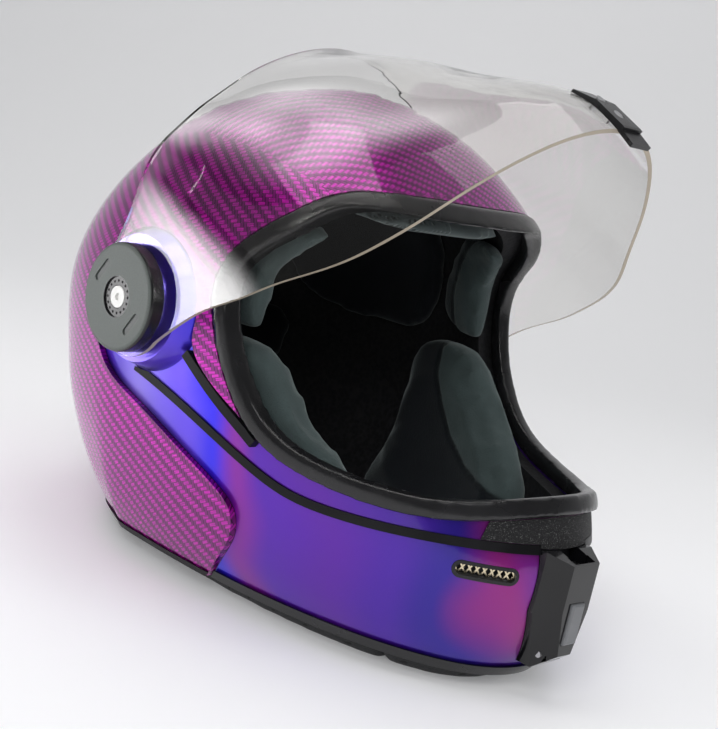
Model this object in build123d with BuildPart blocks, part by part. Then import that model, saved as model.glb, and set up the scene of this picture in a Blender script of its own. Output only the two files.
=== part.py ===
"""Full-face skydiving helmet with its clear visor raised, in millimetres.

X points to the wearer's left, Y to the rear and Z up. The origin lies below the middle of the
helmet, on the surface that it stands on. Side views are drawn from the visor's turning axis in
Y and from the shell's lower edge in Z, and front views from the same edge.
"""
from build123d import *
from functools import lru_cache
from math import cos, hypot, pi, radians, sin
import os

# shell: overall reach from the turning axis, height above its lower edge, wall
shell_height = 234.6
shell_half_width = 109.5
front_reach = 190.0
rear_reach = 141.0
shell_wall = 3.0
seam_gap = 0.3
overrun = 60.0

# chin guard: painted jaw piece, set below the shell's surface, with an arm up to each pod
guard_recess = 3.3
guard_wall = 3.6
guard_inner = guard_recess + guard_wall

# visor, modelled closed and then raised about its turning axis
pivot_height = 122.0
visor_half_width = 117.5
visor_reach = 191.0
visor_wall = 2.3
visor_raise_deg = 55.5
ear_radius = 27.0

# pod, base plate, bush, cover and screw on each side, stacked outwards
pod_face = 113.2
pod_top_radius = 29.5
pod_taper_deg = 22.0
pod_depth = 20.0
plate_thickness = 1.5
plate_radius = 21.5
plate_screw_circle = 15.0
plate_screw_count = 3
plate_screw_radius = 1.25
plate_screw_head = 2.6
plate_screw_head_height = 0.9
plate_screw_length = 8.0
bush_radius = 8.0
bush_proud = 0.3
running_gap = 0.08
stack_gap = 0.3
fastener_gap = 0.1
cover_radius = 25.0
cover_thickness = 7.6
cover_edge_round = 2.2
cover_well_radius = 9.4
cover_well_depth = 0.9
cover_dimple_radius = 0.62
cover_dimple_circle = 7.4
cover_dimple_depth = 0.6
cover_dimple_count = 16
cover_mark_length = 13.0
cover_mark_width = 3.4
cover_mark_depth = 0.7
cover_mark_circle = 16.6
screw_head_radius = 5.0
screw_head_height = 1.6
screw_head_proud = 0.2
screw_socket_radius = 1.8
screw_socket_depth = 1.1
screw_shank_radius = 3.0
screw_length = 18.0

# eye port gasket, seals, strip and edge trims
gasket_width = 9.0
gasket_proud = 1.5
gasket_depth = 8.0
seal_width = 4.0
seal_proud = 1.0
seal_gap = 0.1
line_trim_width = 4.4
line_trim_proud = 0.9
strip_thickness = 0.9
strip_reach = 168.0
trim_height = 3.6
trim_flange = 1.4
trim_slot_gap = 0.2
rear_trim_height = 2.5
rear_trim_flange = 0.8

# shock-absorbing liner and comfort pads, as depths below the shell's surface
liner_outer = 3.4
liner_inner = 17.0
liner_bottom = 16.4
pad_outer = 17.4
crown_pad_inner = 26.0
side_pad_inner = 27.0
cheek_pad_inner = 35.0
neck_drop = 10.0
neck_top = 16.0
neck_outer = 9.4
neck_inner = 22.0
curtain_reach = 128.0

# chin latch: faceted housing, button, hook on its pin and torsion spring
latch_root_half = 16.5
latch_front_half = 9.5
latch_top = 62.0
latch_bottom = 7.4
latch_shoulder = 34.0
latch_proud = 6.5
latch_root = 186.0
latch_facet = 3.0
latch_back = 165.0
cavity_half = 7.0
cavity_front = 191.0
cavity_back = 183.4
slot_half = 7.6
slot_front = 195.4
slot_floor = 49.5
button_half = 4.5
button_bottom = 22.0
button_top = 41.0
button_proud = 1.6
button_body = 5.8
button_stem = 2.0
button_gap = 0.35
button_edge_round = 1.2
hook_half = 3.0
hook_front = 190.0
hook_thickness = 2.0
hook_top = 57.0
hook_nose = 1.7
hook_nose_height = 2.4
hook_pin_height = 15.0
hook_pin_radius = 1.5
hook_boss_radius = 2.9
hook_pin_half = 9.0
spring_wire = 0.7
spring_radius = 2.3
spring_turns = 3
spring_pitch = 0.9

# visor tab and its screws, drawn on the closed visor's nose
tab_half = 7.0
tab_thickness = 2.6
tab_gap = 0.15
tab_lip_length = 10.0
tab_lip_thickness = 2.0
tab_screw_radius = 1.5
tab_screw_head = 2.6
tab_screw_head_height = 1.0
tab_screw_length = 6.0
tab_floor = 1.2
tab_step = 1.6
tab_foot = 57.2

# chin vents
vent_length = 30.0
vent_height = 7.8
vent_rim = 1.5
vent_proud = 0.4
vent_turn_deg = 39.0
vent_offset = 37.2
vent_reach = 171.7
vent_centre = 49.0
vent_tilt_deg = 2.0
mesh_thickness = 0.8
mesh_depth = 2.4
mesh_pitch = 3.3
mesh_bar = 0.75
mesh_lean_deg = 32.0

# chin strap ends, hanging from behind the cheek pads
strap_width = 20.0
strap_thickness = 1.8
strap_reach = 25.0
strap_top_half = 54.2
strap_bottom_half = 44.0
strap_drop = 7.5

half_span = shell_half_width + overrun
far = front_reach + overrun
axis_y = (front_reach + latch_proud + button_proud - rear_reach) / 2
base_z = neck_drop
side_view = Plane(origin=(0, axis_y, base_z), x_dir=(0, 1, 0), z_dir=(1, 0, 0))
top_view = Plane(origin=(0, axis_y, base_z))
front_view = Plane(origin=(0, axis_y, base_z), x_dir=(1, 0, 0), z_dir=(0, -1, 0))
hinge_axis = Axis((0, axis_y, base_z + pivot_height), (1, 0, 0))

# One row for each level of the shell's outer surface, from below its lower edge to the crown:
# height share, half width share, front share, rear share, centre share, front fullness.
level_shares = [
    (-0.171, 0.460, 0.740, 0.286, 0.026, 2.2),
    (-0.064, 0.640, 0.885, 0.470, 0.026, 2.2),
    (0.000, 0.725, 0.942, 0.582, 0.026, 2.15),
    (0.085, 0.826, 0.984, 0.730, 0.026, 2.1),
    (0.192, 0.908, 1.000, 0.858, 0.026, 2.05),
    (0.243, 0.935, 0.994, 0.904, 0.026, 2.0),
    (0.298, 0.953, 0.968, 0.943, 0.026, 2.0),
    (0.350, 0.968, 0.935, 0.967, 0.026, 2.0),
    (0.427, 0.986, 0.885, 0.997, 0.026, 1.9),
    (0.521, 1.000, 0.815, 0.983, 0.020, 1.85),
    (0.618, 0.988, 0.720, 0.905, 0.010, 1.95),
    (0.703, 0.948, 0.625, 0.800, 0.000, 2.2),
    (0.776, 0.886, 0.545, 0.687, -0.010, 2.4),
    (0.853, 0.786, 0.430, 0.535, -0.020, 2.4),
    (0.925, 0.612, 0.308, 0.350, -0.030, 2.3),
    (0.972, 0.395, 0.195, 0.170, -0.037, 2.1),
    (0.996, 0.150, 0.095, 0.010, -0.040, 2.0),
    (1.000, 0.048, 0.066, -0.026, -0.040, 2.0),
]
rear_fullness = 2.1
points_per_quarter = 6

# Levels of the closed visor: height share of the shell, then shares of the visor's own width and reach.
visor_level_shares = [
    (0.192, 0.995, 1.006),
    (0.243, 1.000, 1.000),
    (0.320, 1.000, 0.988),
    (0.426, 1.000, 0.930),
    (0.520, 1.000, 0.845),
    (0.639, 1.000, 0.747),
    (0.746, 0.980, 0.656),
    (0.853, 0.884, 0.554),
    (0.930, 0.786, 0.483),
]
# Half of the visor's plan, from behind its ear along the flat cheek and round to the nose.
visor_plan_shares = [
    (1.000, -0.200), (1.000, -0.070), (1.000, 0.050), (1.000, 0.160), (0.999, 0.240),
    (0.983, 0.350), (0.945, 0.420), (0.880, 0.490), (0.800, 0.565),
    (0.690, 0.655), (0.575, 0.760), (0.440, 0.860), (0.250, 0.955), (0.000, 1.000),
]

# Side-view outlines, as shares of the front reach and the shell's height.
port_shares = [
    (-0.640, 0.832), (-0.540, 0.833), (-0.455, 0.831), (-0.390, 0.818), (-0.326, 0.759),
    (-0.268, 0.707), (-0.226, 0.660), (-0.207, 0.596), (-0.228, 0.512), (-0.258, 0.460),
    (-0.305, 0.405), (-0.368, 0.352), (-0.447, 0.315), (-0.560, 0.292), (-0.705, 0.283),
    (-0.830, 0.291), (-0.930, 0.316), (-1.050, 0.345),
]
groove_shares = [
    (0.020, 0.377), (-0.089, 0.358), (-0.242, 0.319), (-0.395, 0.273), (-0.489, 0.252),
    (-0.595, 0.246), (-0.690, 0.248), (-0.863, 0.258), (-1.080, 0.264),
]
line_trim_shares = [(-0.172, 0.456), (-0.216, 0.430), (-0.289, 0.391), (-0.355, 0.360), (-0.405, 0.335)]
guard_shares = [
    (-0.520, 0.332), (-0.440, 0.338), (-0.385, 0.350), (-0.345, 0.367), (-0.289, 0.391),
    (-0.216, 0.430), (-0.178, 0.470), (-0.177, 0.530), (-0.153, 0.595), (-0.100, 0.640),
    (-0.026, 0.660), (0.060, 0.654), (0.140, 0.613), (0.188, 0.548), (0.205, 0.477),
    (0.190, 0.410), (0.132, 0.356), (0.053, 0.326), (-0.026, 0.306), (-0.184, 0.256),
    (-0.300, 0.213), (-0.347, 0.180), (-0.352, 0.140), (-0.316, 0.081), (-0.237, 0.000),
    (-0.150, -0.110),
]
visor_lower_shares = [
    (0.000, 0.405), (-0.100, 0.384), (-0.184, 0.359), (-0.300, 0.310), (-0.379, 0.284),
    (-0.484, 0.250), (-0.537, 0.239), (-0.637, 0.235), (-0.753, 0.238), (-0.853, 0.242), (-1.060, 0.249),
]
visor_upper_shares = [
    (0.000, 0.635), (-0.105, 0.648), (-0.195, 0.678), (-0.268, 0.713), (-0.337, 0.757),
    (-0.385, 0.805), (-0.432, 0.842), (-0.526, 0.876), (-0.740, 0.905),
]
cheek_shares = [
    (-0.063, 0.094), (-0.263, 0.085), (-0.463, 0.092), (-0.585, 0.145), (-0.610, 0.222),
    (-0.560, 0.292), (-0.485, 0.345), (-0.405, 0.400), (-0.338, 0.450), (-0.270, 0.487),
    (-0.160, 0.494), (-0.075, 0.475), (-0.040, 0.400), (-0.042, 0.250),
]
temple_shares = [
    (-0.255, 0.525), (-0.262, 0.595), (-0.280, 0.660), (-0.322, 0.715), (-0.240, 0.745),
    (-0.150, 0.735), (-0.085, 0.650), (-0.075, 0.560), (-0.150, 0.518),
]
brow_shares = [
    (-0.640, 0.790), (-0.540, 0.760), (-0.430, 0.752), (-0.340, 0.765), (-0.260, 0.772),
    (-0.205, 0.785), (-0.200, 0.815), (-0.245, 0.870), (-0.330, 0.920), (-0.480, 0.930),
]
side_pad_shares = [
    (-0.030, 0.540), (-0.042, 0.640), (-0.010, 0.730), (0.126, 0.752), (0.316, 0.725),
    (0.420, 0.640), (0.430, 0.530), (0.316, 0.480), (0.105, 0.480), (0.010, 0.495),
]
tab_screw_shares = [(0.281, 0.996), (0.330, 0.985)]
crown_shares = [
    (-0.200, 0.855), (-0.105, 0.820), (0.158, 0.795), (0.300, 0.795), (0.370, 0.860), (0.105, 1.060),
    (-0.158, 1.060),
]
nape_shares = [
    (0.452, 0.110), (0.440, 0.270), (0.452, 0.430), (0.600, 0.450), (0.800, 0.430),
    (0.800, 0.110), (0.600, 0.095),
]


def spot(shares):
    """A side-view point from its shares of the front reach and the shell's height."""
    return Vector(shares[0] * front_reach, shares[1] * shell_height)


def beside(shares, distance):
    """Side-view points moved to the right of their own path by a distance."""
    path = [spot(s) for s in shares]
    moved = []
    for i, point in enumerate(path):
        along = (path[min(i + 1, len(path) - 1)] - path[max(i - 1, 0)]).normalized()
        moved.append(point + Vector(along.Y, -along.X) * distance)
    return moved


def levels_at(depth):
    """The surface's levels at a depth below the outer surface, each moved square to its slope."""
    rows = [
        (z * shell_height, w * shell_half_width, f * front_reach, r * rear_reach, c * front_reach, n)
        for z, w, f, r, c, n in level_shares
    ]
    inset = []
    for i, (z, w, f, r, c, n) in enumerate(rows):
        below = rows[max(i - 1, 0)]
        above = rows[min(i + 1, len(rows) - 1)]
        run = above[1] - below[1]
        rise = above[0] - below[0]
        inward = depth * rise / hypot(run, rise)
        upward = depth * run / hypot(run, rise)
        inset.append((z + upward, w - inward, f - inward, r - inward, c, n))
    return inset


def quarter(half_width, reach, fullness, centre, side, direction):
    """Points of a quarter of a level, from its side towards its front or rear."""
    points = []
    for i in range(points_per_quarter):
        angle = i * pi / (2 * points_per_quarter)
        across = half_width * cos(angle) ** (2 / fullness)
        along = (reach - direction * centre) * sin(angle) ** (2 / fullness)
        points.append((side * across, centre + direction * along))
    return points


def level_outline(half_width, front, rear, centre, fullness):
    """The points of one closed level of the shell's surface, clockwise from its right side."""
    front_right = quarter(half_width, front, fullness, centre, -1, -1)
    front_left = quarter(half_width, front, fullness, centre, 1, -1)
    rear_left = quarter(half_width, rear, rear_fullness, centre, 1, 1)
    rear_right = quarter(half_width, rear, rear_fullness, centre, -1, 1)
    ahead = front_right + [(0, -front)] + front_left[:0:-1]
    behind = rear_left + [(0, rear)] + rear_right[:0:-1]
    return ahead + behind


def running_lengths(points):
    """Lengths along a row of points, from the first to the last."""
    lengths = [0.0]
    for here, there in zip(points, points[1:]):
        lengths.append(lengths[-1] + hypot(there[0] - here[0], there[1] - here[1]))
    return lengths


widest = level_outline(*[row for row in levels_at(0) if row[1] == shell_half_width][0][1:])
level_knots = running_lengths(widest + widest[:1])


@lru_cache(maxsize=None)
def hull(depth):
    """The solid inside the surface that lies at a depth below the shell's outer surface."""
    with BuildPart() as solid:
        for height, *level in levels_at(depth):
            with BuildSketch(top_view.offset(height)):
                with BuildLine():
                    add(Edge.make_spline(level_outline(*level), periodic=True, parameters=level_knots))
                make_face()
        loft()
    return solid.part


@lru_cache(maxsize=None)
def skin(outer, inner):
    """The closed skin between two depths below the shell's surface."""
    with BuildPart() as solid:
        add(hull(outer))
        add(hull(inner), mode=Mode.SUBTRACT)
    return solid.part


def layer(outer, inner):
    """Adds the closed skin between two depths to the part being built."""
    add(skin(outer, inner))


def cut(area):
    """Cuts a side-view area right through the part being built."""
    extrude(area, amount=half_span, both=True, mode=Mode.SUBTRACT)


def keep(area):
    """Keeps only what lies inside a side-view area."""
    extrude(area, amount=half_span, both=True, mode=Mode.INTERSECT)


def span(low, high, plane=side_view):
    """A rectangle between two corners of a view."""
    with BuildSketch(plane) as area:
        with Locations(((low[0] + high[0]) / 2, (low[1] + high[1]) / 2)):
            Rectangle(high[0] - low[0], high[1] - low[1])
    return area.sketch


def block(low, high, mode=Mode.ADD):
    """A box between two corners in X, reach ahead of the axis and height above the lower edge."""
    face = span((low[0], low[2]), (high[0], high[2]), front_view.offset(low[1]))
    extrude(face, amount=high[1] - low[1], mode=mode)


def port_area(inset=0.0):
    """Everything ahead of the eye port's edge, drawn in from that edge by an inset."""
    edge = beside(port_shares, inset)
    with BuildSketch(side_view) as area:
        with BuildLine():
            Spline(*edge)
            Polyline(edge[-1], (-far, edge[-1].Y), (-far, edge[0].Y), edge[0])
        make_face()
    return area.sketch


def guard_area(inset=0.0):
    """The chin guard's side view: jaw, arm and pod, drawn in by an inset."""
    edge = beside(guard_shares, inset)
    middle = shell_height / 2
    with BuildSketch(side_view) as area:
        with BuildLine():
            Spline(*edge)
            Polyline(edge[-1], (-far, edge[-1].Y), (-far, middle), (edge[0].X, middle), edge[0])
        make_face()
    return area.sketch


def band(shares, width, shift=0.0):
    """A side-view ribbon of one width along a row of shares, shifted upwards."""
    upper = beside(shares, shift + width / 2)
    lower = beside(shares, shift - width / 2)
    with BuildSketch(side_view) as area:
        with BuildLine():
            Spline(*upper)
            Spline(*lower)
            Line(upper[0], lower[0])
            Line(upper[-1], lower[-1])
        make_face()
    return area.sketch


def under_groove(rise):
    """Everything below the visor's groove, or a rise above it."""
    edge = beside(groove_shares, rise)
    with BuildSketch(side_view) as area:
        with BuildLine():
            Spline(*edge)
            Polyline(edge[-1], (-far, edge[-1].Y), (-far, -overrun), (edge[0].X, -overrun), edge[0])
        make_face()
    return area.sketch


def patch(shares):
    """A pad's rounded side-view outline."""
    with BuildSketch(side_view) as area:
        with BuildLine():
            Spline(*[spot(s) for s in shares], periodic=True)
        make_face()
    return area.sketch


def split_middle(gap):
    """Cuts a gap to each side of the middle out of the part being built."""
    block((-gap, -far, -far), (gap, far, far), mode=Mode.SUBTRACT)


def one_of(pair, side):
    """The solid at one end of a pair, along X."""
    return pair.part.solids().sort_by(Axis.X)[0 if side < 0 else -1]


def ear_plane(side, out):
    """A plane square to the turning axis, its normal outwards, out from the middle."""
    centre = (side * out, axis_y, base_z + pivot_height)
    return Plane(origin=centre, x_dir=(0, side, 0), z_dir=(side, 0, 0))


def disc(side, out, radius, length, mode=Mode.ADD):
    """A round bar on the turning axis, from a place out along it and on by a length."""
    with BuildSketch(ear_plane(side, out)) as face:
        Circle(radius)
    extrude(face.sketch, amount=length, mode=mode)


def shield(plane, half, top, shoulder, bottom, tip):
    """The latch housing's outline in the front view."""
    right = [(half, top), (half, shoulder), (tip, bottom)]
    left = [(-x, z) for x, z in reversed(right)]
    with BuildSketch(plane) as area:
        with BuildLine():
            Polyline(*right, *left, close=True)
        make_face()
    return area.sketch


def latch_opening(grow=0.0):
    """Cuts the latch housing's outline out of the part being built."""
    outline = shield(
        front_view.offset(latch_back), latch_root_half + grow, latch_top + grow, latch_shoulder,
        latch_bottom - grow, latch_root_half / 2 + grow,
    )
    extrude(outline, amount=far - latch_back, mode=Mode.SUBTRACT)


def vent_plane(side, depth=0.0):
    """A plane on the guard at a chin vent, its normal outwards, a depth below the vent's middle."""
    turn = radians(vent_turn_deg)
    out = Vector(side * sin(turn), -cos(turn), 0)
    across = Vector(cos(turn), side * sin(turn), 0)
    middle = Vector(side * vent_offset, axis_y - vent_reach, base_z + vent_centre)
    plane = Plane(origin=middle - out * depth, x_dir=across, z_dir=out)
    return plane.rotated((0, 0, side * vent_tilt_deg))


def vent_slot(side, depth, inset):
    """A chin vent's rounded outline, drawn in by an inset."""
    with BuildSketch(vent_plane(side, depth)) as area:
        SlotOverall(vent_length - 2 * inset, vent_height - 2 * inset)
    return area.sketch


# shell pieces
with BuildPart() as outer_shell:
    layer(0, shell_wall)
    cut(port_area())
    cut(guard_area())
    cut(span((-far, -overrun), (far, 0)))

with BuildPart() as pods:
    for side in (-1, 1):
        with BuildSketch(ear_plane(side, pod_face)) as pod_top:
            Circle(pod_top_radius)
        extrude(pod_top.sketch, amount=-pod_depth, taper=-pod_taper_deg)

with BuildPart() as pod_room:
    for side in (-1, 1):
        with BuildSketch(ear_plane(side, pod_face)) as pod_room_top:
            Circle(pod_top_radius + 2 * seam_gap)
        extrude(pod_room_top.sketch, amount=-pod_depth, taper=-pod_taper_deg)

with BuildPart() as chin_guard:
    layer(guard_recess, guard_inner)
    add(pods.part)
    add(hull(guard_inner), mode=Mode.SUBTRACT)
    keep(guard_area())
    cut(port_area())
    cut(span((-far, -overrun), (far, 0)))
    latch_opening(seam_gap)
    for side in (-1, 1):
        extrude(vent_slot(side, 0, -seal_gap), amount=pod_depth, both=True, mode=Mode.SUBTRACT)
        disc(side, pod_face, screw_shank_radius + fastener_gap, -overrun, mode=Mode.SUBTRACT)
        with BuildSketch(ear_plane(side, pod_face)) as plate_holes:
            with PolarLocations(plate_screw_circle, plate_screw_count):
                Circle(plate_screw_radius + fastener_gap)
        extrude(plate_holes.sketch, amount=-plate_screw_length, mode=Mode.SUBTRACT)

with BuildPart() as eye_port_gasket:
    layer(-gasket_proud, gasket_depth)
    keep(port_area(seal_gap))
    cut(port_area(seal_gap + gasket_width))

with BuildPart() as seal_pair:
    layer(guard_recess - seal_proud, guard_recess - seal_gap)
    keep(band(groove_shares, seal_width))
    split_middle(latch_root_half + seam_gap)
    add(pod_room.part, mode=Mode.SUBTRACT)

with BuildPart() as line_trim_pair:
    layer(guard_recess - line_trim_proud - shell_wall, guard_recess - seal_gap)
    keep(band(line_trim_shares, line_trim_width, -line_trim_width / 2 - 2 * seam_gap))
    cut(port_area(-seal_gap))

groove_seals = {}
line_trims = {}
for side, name in ((-1, "right"), (1, "left")):
    with BuildPart() as groove_seals[name]:
        add(one_of(seal_pair, side))

    with BuildPart() as line_trims[name]:
        add(one_of(line_trim_pair, side))

with BuildPart() as below_strip:
    extrude(under_groove(seal_width / 2 + seam_gap), amount=half_span, both=True)
    block((-latch_root_half, -far, latch_top + seam_gap), (latch_root_half, far, far), mode=Mode.SUBTRACT)

with BuildPart() as chin_strip:
    layer(guard_recess - strip_thickness - seal_gap, guard_recess - seal_gap)
    keep(span((-far, 0), (-strip_reach, shell_height / 2)))
    cut(port_area(-seal_gap))
    add(below_strip.part, mode=Mode.SUBTRACT)

with BuildPart() as front_trim_slot:
    layer(guard_recess - trim_slot_gap, guard_inner + trim_slot_gap)
    keep(span((-far, -trim_slot_gap), (far, overrun)))

with BuildPart() as lower_trim_front:
    layer(guard_recess - trim_flange, guard_inner + trim_flange)
    keep(span((-far, -trim_flange), (far, trim_height)))
    keep(guard_area(seam_gap))
    add(front_trim_slot.part, mode=Mode.SUBTRACT)

with BuildPart() as rear_trim_slot:
    layer(-trim_slot_gap, shell_wall + trim_slot_gap)
    keep(span((-far, -trim_slot_gap), (far, overrun)))

with BuildPart() as lower_trim_rear:
    layer(-rear_trim_flange, shell_wall + rear_trim_flange)
    keep(span((-far, -rear_trim_flange), (far, rear_trim_height)))
    cut(guard_area(-seam_gap))
    add(rear_trim_slot.part, mode=Mode.SUBTRACT)

# liner and pads
with BuildPart() as skull_liner:
    layer(liner_outer, liner_inner)
    cut(port_area())
    cut(guard_area(-seam_gap))
    cut(span((-far, -overrun), (far, liner_bottom)))

with BuildPart() as chin_liner:
    layer(guard_inner + seam_gap, liner_inner)
    keep(guard_area())
    cut(port_area())
    cut(span((-far, -overrun), (far, liner_bottom)))
    for side in (-1, 1):
        extrude(vent_slot(side, 0, -seal_gap), amount=pod_depth, both=True, mode=Mode.SUBTRACT)

with BuildPart() as crown_pad:
    layer(pad_outer, crown_pad_inner)
    keep(patch(crown_shares))

with BuildPart() as nape_pad:
    layer(pad_outer, side_pad_inner)
    keep(patch(nape_shares))

with BuildPart() as brow_pad:
    layer(pad_outer, side_pad_inner)
    keep(patch(brow_shares))

with BuildPart() as cheek_pair:
    layer(pad_outer, cheek_pad_inner)
    keep(patch(cheek_shares))

with BuildPart() as temple_pair:
    layer(pad_outer, side_pad_inner)
    keep(patch(temple_shares))

with BuildPart() as side_pair:
    layer(pad_outer, side_pad_inner)
    keep(patch(side_pad_shares))

cheek_pads = {}
temple_pads = {}
side_pads = {}
straps = {}
for side, name in ((-1, "right"), (1, "left")):
    with BuildPart() as cheek_pads[name]:
        add(one_of(cheek_pair, side))

    with BuildPart() as temple_pads[name]:
        add(one_of(temple_pair, side))

    with BuildPart() as side_pads[name]:
        add(one_of(side_pair, side))

    with BuildPart() as straps[name]:
        low = side * strap_bottom_half
        high = side * strap_top_half
        across = side * strap_thickness
        foot = [(low, -strap_drop), (low + across, -strap_drop)]
        head = [(high + across, neck_top), (high, neck_top)]
        with BuildSketch(front_view.offset(strap_reach)):
            with BuildLine():
                Polyline(*foot, *head, close=True)
            make_face()
        extrude(amount=strap_width)

with BuildPart() as neck_ring:
    layer(neck_outer, neck_inner)
    keep(span((-far, -neck_drop), (far, neck_top)))

with BuildPart() as neck_roll:
    add(neck_ring.part)
    cut(span((-far, -overrun), (-curtain_reach, overrun)))

with BuildPart() as chin_curtain:
    add(neck_ring.part)
    keep(span((-far, -overrun), (-curtain_reach - stack_gap, overrun)))


# visor and what turns with it
def visor_outline(half, reach):
    """The points of one level of the visor, from behind its right ear round to behind its left."""
    right = [(-half * x, -reach * y) for x, y in visor_plan_shares]
    left = [(-x, y) for x, y in reversed(right[:-1])]
    return right + left


visor_knots = running_lengths(visor_outline(visor_half_width, visor_reach))


def visor_form(inset):
    """The closed visor as a solid, drawn in by an inset, from behind its ears to its nose."""
    with BuildPart() as solid:
        for z, wide, ahead in visor_level_shares:
            outline = visor_outline(visor_half_width * wide - inset, visor_reach * ahead - inset)
            with BuildSketch(top_view.offset(z * shell_height)):
                with BuildLine():
                    add(Edge.make_spline(outline, tangents=[(0, -1), (0, 1)], parameters=visor_knots))
                    Line(outline[-1], outline[0])
                make_face()
        loft()
    return solid.part


def visor_area():
    """The closed visor's side view: a round ear about the axis, and its lower and upper edges."""
    lower = [spot(s) for s in visor_lower_shares]
    upper = [spot(s) for s in visor_upper_shares]
    lower[0] = Vector(0, pivot_height - ear_radius)
    upper[0] = Vector(0, pivot_height + ear_radius)
    with BuildSketch(side_view) as area:
        with BuildLine():
            Spline(*lower)
            Spline(*upper)
            ThreePointArc(lower[0], (ear_radius, pivot_height), upper[0])
            Polyline(lower[-1], (-far, lower[-1].Y), (-far, upper[-1].Y), upper[-1])
        make_face()
    return area.sketch


def tab_area():
    """The nose tab's side view: a plate up the visor's outside and a lip stepped in below it."""
    low, middle, high = [(z * shell_height, -visor_reach * ahead) for z, _, ahead in visor_level_shares[1:4]]
    top = ((middle[0] + high[0]) / 2, (middle[1] + high[1]) / 2)
    out = tab_gap + tab_thickness
    lip_front = low[1] - out / 2
    lip_back = lip_front + tab_lip_thickness
    with BuildSketch(side_view) as area:
        with BuildLine():
            Polyline(
                (lip_back, tab_foot), (top[1] + out, top[0]), (top[1] - out, top[0]),
                (middle[1] - out, middle[0]), (low[1] - out, tab_foot), (low[1] - out, tab_foot - tab_step),
                (lip_front, tab_foot - tab_step), (lip_front, tab_foot - tab_lip_length),
                (lip_back, tab_foot - tab_lip_length), close=True,
            )
        make_face()
    return area.sketch


def bar_ahead(height, reach, radius, length, mode=Mode.ADD):
    """A round bar in the middle, square to the front view, from a reach and on by a length."""
    with BuildSketch(front_view.offset(reach)) as face:
        with Locations((0, height)):
            Circle(radius)
    extrude(face.sketch, amount=length, mode=mode)


tab_seats = [
    (z * shell_height, visor_reach * ahead + tab_gap + tab_floor) for z, ahead in tab_screw_shares
]

with BuildPart() as visor:
    add(visor_form(0))
    add(visor_form(visor_wall), mode=Mode.SUBTRACT)
    keep(visor_area())
    for side in (-1, 1):
        disc(side, pod_face, bush_radius + running_gap, overrun, mode=Mode.SUBTRACT)
    for height, seat in tab_seats:
        bar_ahead(height, seat, tab_screw_radius + fastener_gap, -tab_screw_length, mode=Mode.SUBTRACT)

with BuildPart() as tab_room:
    add(visor_form(-tab_gap))
    keep(span((-far, tab_foot), (far, shell_height)))

with BuildPart() as visor_tab:
    extrude(tab_area(), amount=tab_half, both=True)
    add(tab_room.part, mode=Mode.SUBTRACT)
    for height, seat in tab_seats:
        bar_ahead(height, seat, tab_screw_radius + fastener_gap, -tab_screw_length, mode=Mode.SUBTRACT)
        bar_ahead(height, seat, tab_screw_head + fastener_gap, tab_screw_length, mode=Mode.SUBTRACT)

with BuildPart() as tab_screws:
    for height, seat in tab_seats:
        bar_ahead(height, seat, tab_screw_radius, -tab_screw_length)
        bar_ahead(height, seat, tab_screw_head, tab_screw_head_height)

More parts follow.
